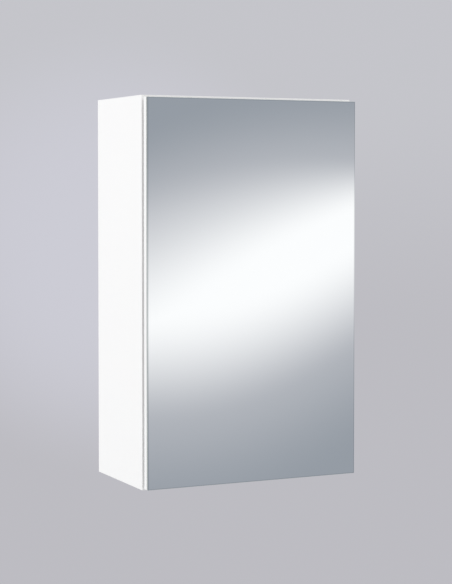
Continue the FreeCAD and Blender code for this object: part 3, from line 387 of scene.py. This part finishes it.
for board_name, end_directions in RAW_ENDS.items():
    board(board_name, end_directions)
hardboard("back_panel")
mirror("mirror_glass")
foam("mirror_tape")
plated(
    "nickel", NICKEL, roughness=(0.16, 0.26), stretch=DRAWN_LINES,
    members=[*HINGE_PIECES, "shelf_pins", "latch_magnet"],
)
plated(
    "zinc", ZINC, roughness=(0.224, 0.364),
    members=[
        "cam_discs", "cam_bolts", "hinge_plate_screws", "hinge_cup_screws", "hinge_fixing_screws",
        "hinge_adjusting_screws", "latch_screws", "strike_plate", "strike_screws",
    ],
)
plated("spring_steel", SPRING_STEEL, roughness=(0.224, 0.364), members=["latch_spring", "hinge_pins"])
moulded(
    "white_plastic", WHITE_PLASTIC, roughness=(0.357, 0.483),
    members=["cam_caps", "latch_housing", "latch_end_cap"],
)
moulded("grey_plastic", GREY_PLASTIC, roughness=(0.323, 0.437), members=["latch_plunger"])
beech("dowels")


# Studio: lamp bands and a white panel for reflections, a plain backdrop and soft light

SOFT_LIGHT = (0.88, 0.88, 0.885)
BACKDROP_LOW, BACKDROP_HIGH = (0.508, 0.504, 0.540), (0.556, 0.558, 0.594)
GLOW = (0.604, 0.604, 0.667)
ROOM = (0.322, 0.350, 0.395)
ROOM_FLOOR = (0.74, 0.745, 0.77)
ROOM_CEILING = (0.80, 0.81, 0.83)
PANEL = (0.94, 0.94, 0.95)
BAND_LIGHT, BAND_HAZE = (1.04, 1.04, 1.05), (0.530, 0.540, 0.580)

# Rises, the upward parts of a unit direction, where a blend starts and where it is full
BACKDROP_RISE = (-0.10, 0.06)
ROOM_FLOOR_RISE = (-0.20, -0.75)
ROOM_CEILING_RISE = (0.25, 0.70)

# Round patches, in degrees: azimuth to the right of straight back, angle above level, and radius
GLOW_PATCH = (21.3, -2.2, 8)
PANEL_PATCH = (-23, -4, 30)

# The band that the mirror shows tilts across its azimuth, to the right of straight ahead. It waves on round
# the room, and repeats above and below, a pitch apart. Its edges taper and curve with its swing to either
# side. Light and haze grow from start to full inside an edge: the light counts in the edge's softness, the
# haze in rise.
BAND_AZIMUTH = math.radians(26.1)
BAND_WAVES = 4
BAND_TILT, BAND_PITCH = 0.26, 0.30
SWING_LIMIT, SWING_EASE = 0.09, 0.05
BAND_TOP, TOP_TAPER, TOP_CURVE = 0.0068, -0.07, -1.7
BAND_BOTTOM, BOTTOM_TAPER, BOTTOM_CURVE = -0.1252, 0.065, 2.8
TOP_SOFTNESS, TOP_SOFTNESS_TAPER, BOTTOM_SOFTNESS = 0.0415, -0.32, 0.042
LIGHT_START, LIGHT_FULL = -0.25, 1.4
HAZE_START, HAZE_FULL, LOWER_HAZE_SHARE = -0.05, 0.02, 0.72


def lamp_band(graph, way):
    """How much of the band's light, and of the haze around it, comes from a direction: two shares."""
    azimuth = graph.calc("ARCTAN2", graph.dot(way, RIGHT), graph.dot(way, FORWARD))
    phase = graph.calc("MULTIPLY", graph.calc("SUBTRACT", azimuth, BAND_AZIMUTH), BAND_WAVES)
    wave = graph.calc("MULTIPLY", graph.calc("SINE", phase), 1 / BAND_WAVES)
    swing = graph.calc("SMOOTH_MAX", wave, -SWING_LIMIT, SWING_EASE)
    swing = graph.calc("SMOOTH_MIN", swing, SWING_LIMIT, SWING_EASE)
    bend = graph.calc("MULTIPLY", swing, swing)
    top = graph.total(BAND_TOP, (swing, TOP_TAPER), (bend, TOP_CURVE))
    bottom = graph.total(BAND_BOTTOM, (swing, BOTTOM_TAPER), (bend, BOTTOM_CURVE))
    top_softness = graph.total(TOP_SOFTNESS, (swing, TOP_SOFTNESS_TAPER))

    middle = (BAND_TOP + BAND_BOTTOM) / 2
    height = graph.total(graph.dot(way, UP), (wave, -BAND_TILT))
    height = graph.calc("WRAP", height, middle + BAND_PITCH / 2, middle - BAND_PITCH / 2)
    below_top = graph.calc("SUBTRACT", top, height)
    above_bottom = graph.calc("SUBTRACT", height, bottom)
    within = graph.calc(
        "MINIMUM",
        graph.calc("DIVIDE", below_top, top_softness),
        graph.calc("DIVIDE", above_bottom, BOTTOM_SOFTNESS),
    )
    near = graph.calc("MINIMUM", below_top, graph.calc("MULTIPLY", above_bottom, LOWER_HAZE_SHARE))
    return graph.fade(within, LIGHT_START, LIGHT_FULL), graph.fade(near, HAZE_START, HAZE_FULL)


def round_patch(graph, way, patch):
    """A share that is 1 at the middle of a round patch and fades to 0 at its rim."""
    azimuth, above_level, radius = map(math.radians, patch)
    middle = (
        math.sin(azimuth) * math.cos(above_level),
        math.cos(azimuth) * math.cos(above_level),
        math.sin(above_level),
    )
    return graph.fade(graph.dot(way, middle), math.cos(radius), 1.0)


def studio_world():
    """A room with lamp bands for reflections, a backdrop for the camera, and soft light for the rest."""
    world = bpy.data.worlds.new("studio")
    world.use_nodes = True
    bpy.context.scene.world = world
    graph = Graph(world.node_tree)
    way = graph.add("ShaderNodeTexCoord").outputs["Generated"]
    rise = graph.dot(way, UP)

    light, haze = lamp_band(graph, way)
    room = graph.blend(graph.fade(rise, *ROOM_FLOOR_RISE), ROOM, ROOM_FLOOR)
    room = graph.blend(graph.fade(rise, *ROOM_CEILING_RISE), room, ROOM_CEILING)
    room = graph.blend(haze, room, BAND_HAZE)
    room = graph.blend(light, room, BAND_LIGHT)
    room = graph.blend(round_patch(graph, way, PANEL_PATCH), room, PANEL)

    backdrop = graph.blend(graph.fade(rise, *BACKDROP_RISE), BACKDROP_LOW, BACKDROP_HIGH)
    backdrop = graph.blend(round_patch(graph, way, GLOW_PATCH), backdrop, GLOW)

    path = graph.add("ShaderNodeLightPath")
    seen = graph.calc("MAXIMUM", path.outputs["Is Camera Ray"], path.outputs["Is Transmission Ray"])
    colour = graph.blend(seen, SOFT_LIGHT, backdrop)
    colour = graph.blend(path.outputs["Is Glossy Ray"], colour, room)
    graph.feed(world.node_tree.nodes["Background"].inputs["Color"], colour)


# Floor and lamps

FLOOR_COLOUR = (0.62, 0.62, 0.64)
FLOOR_DROP = 1.65
FLOOR_RADIUS, FLOOR_SOLID_RADIUS = 2.4, 1.2
FLOOR_SIDES = 96

LAMPS = {
    "key": {"place": (-2.6, 0.15, 0.25), "size": 1.5, "power": 18},
    "fill": {"place": (0.9, -2.3, 1.3), "size": 1.5, "power": 12},
    "rear": {"place": (1.5, 1.7, 1.3), "size": 1.2, "power": 9},
}


def pale_floor():
    """A pale disc under the cabinet, whose rim fades into the backdrop."""
    bpy.ops.mesh.primitive_circle_add(
        vertices=FLOOR_SIDES, radius=FLOOR_RADIUS, fill_type="NGON", location=(0, 0, -FLOOR_DROP)
    )
    floor = bpy.context.object
    floor.name = "floor"
    surface = Surface("floor", Roughness=0.7)
    cloud = surface.noise(400 * MM)
    surface.set("Base Color", surface.tone(FLOOR_COLOUR, cloud, change=0.015))
    squared = surface.dot(surface.place, surface.place)
    surface.set("Alpha", surface.fade(squared, FLOOR_RADIUS ** 2, FLOOR_SOLID_RADIUS ** 2))
    floor.data.materials.append(surface.material)


def area_lamp(name, place, size, power):
    """A square soft lamp that looks at the middle of the cabinet and leaves reflections to the studio."""
    data = bpy.data.lights.new(name, "AREA")
    data.size = size
    data.energy = power
    lamp = bpy.data.objects.new(name, data)
    lamp.location = place
    lamp.visible_glossy = False
    middle = (cad_box[0] + cad_box[1]) / 2
    lamp.rotation_euler = (middle - lamp.location).to_track_quat("-Z", "Y").to_euler()
    bpy.context.scene.collection.objects.link(lamp)


# Camera at the photograph's viewing angle

CAMERA_PLACE = (-0.9477, -2.0819, -0.0673)
CAMERA_TURN, CAMERA_PITCH = math.radians(-25.385), math.radians(-2.114)
CAMERA_LENS, CAMERA_SHIFT = 102.027, -0.08


def photo_camera():
    """A camera at the left front, with a small shift that keeps uprights nearly parallel."""
    data = bpy.data.cameras.new("camera")
    data.lens = CAMERA_LENS
    data.shift_y = CAMERA_SHIFT
    camera = bpy.data.objects.new("camera", data)
    camera.location = CAMERA_PLACE
    camera.rotation_euler = (math.pi / 2 + CAMERA_PITCH, 0, CAMERA_TURN)
    bpy.context.scene.collection.objects.link(camera)
    bpy.context.scene.camera = camera


studio_world()
pale_floor()
for lamp_name, settings in LAMPS.items():
    area_lamp(lamp_name, **settings)
photo_camera()
bpy.context.scene.view_settings.view_transform = "Standard"
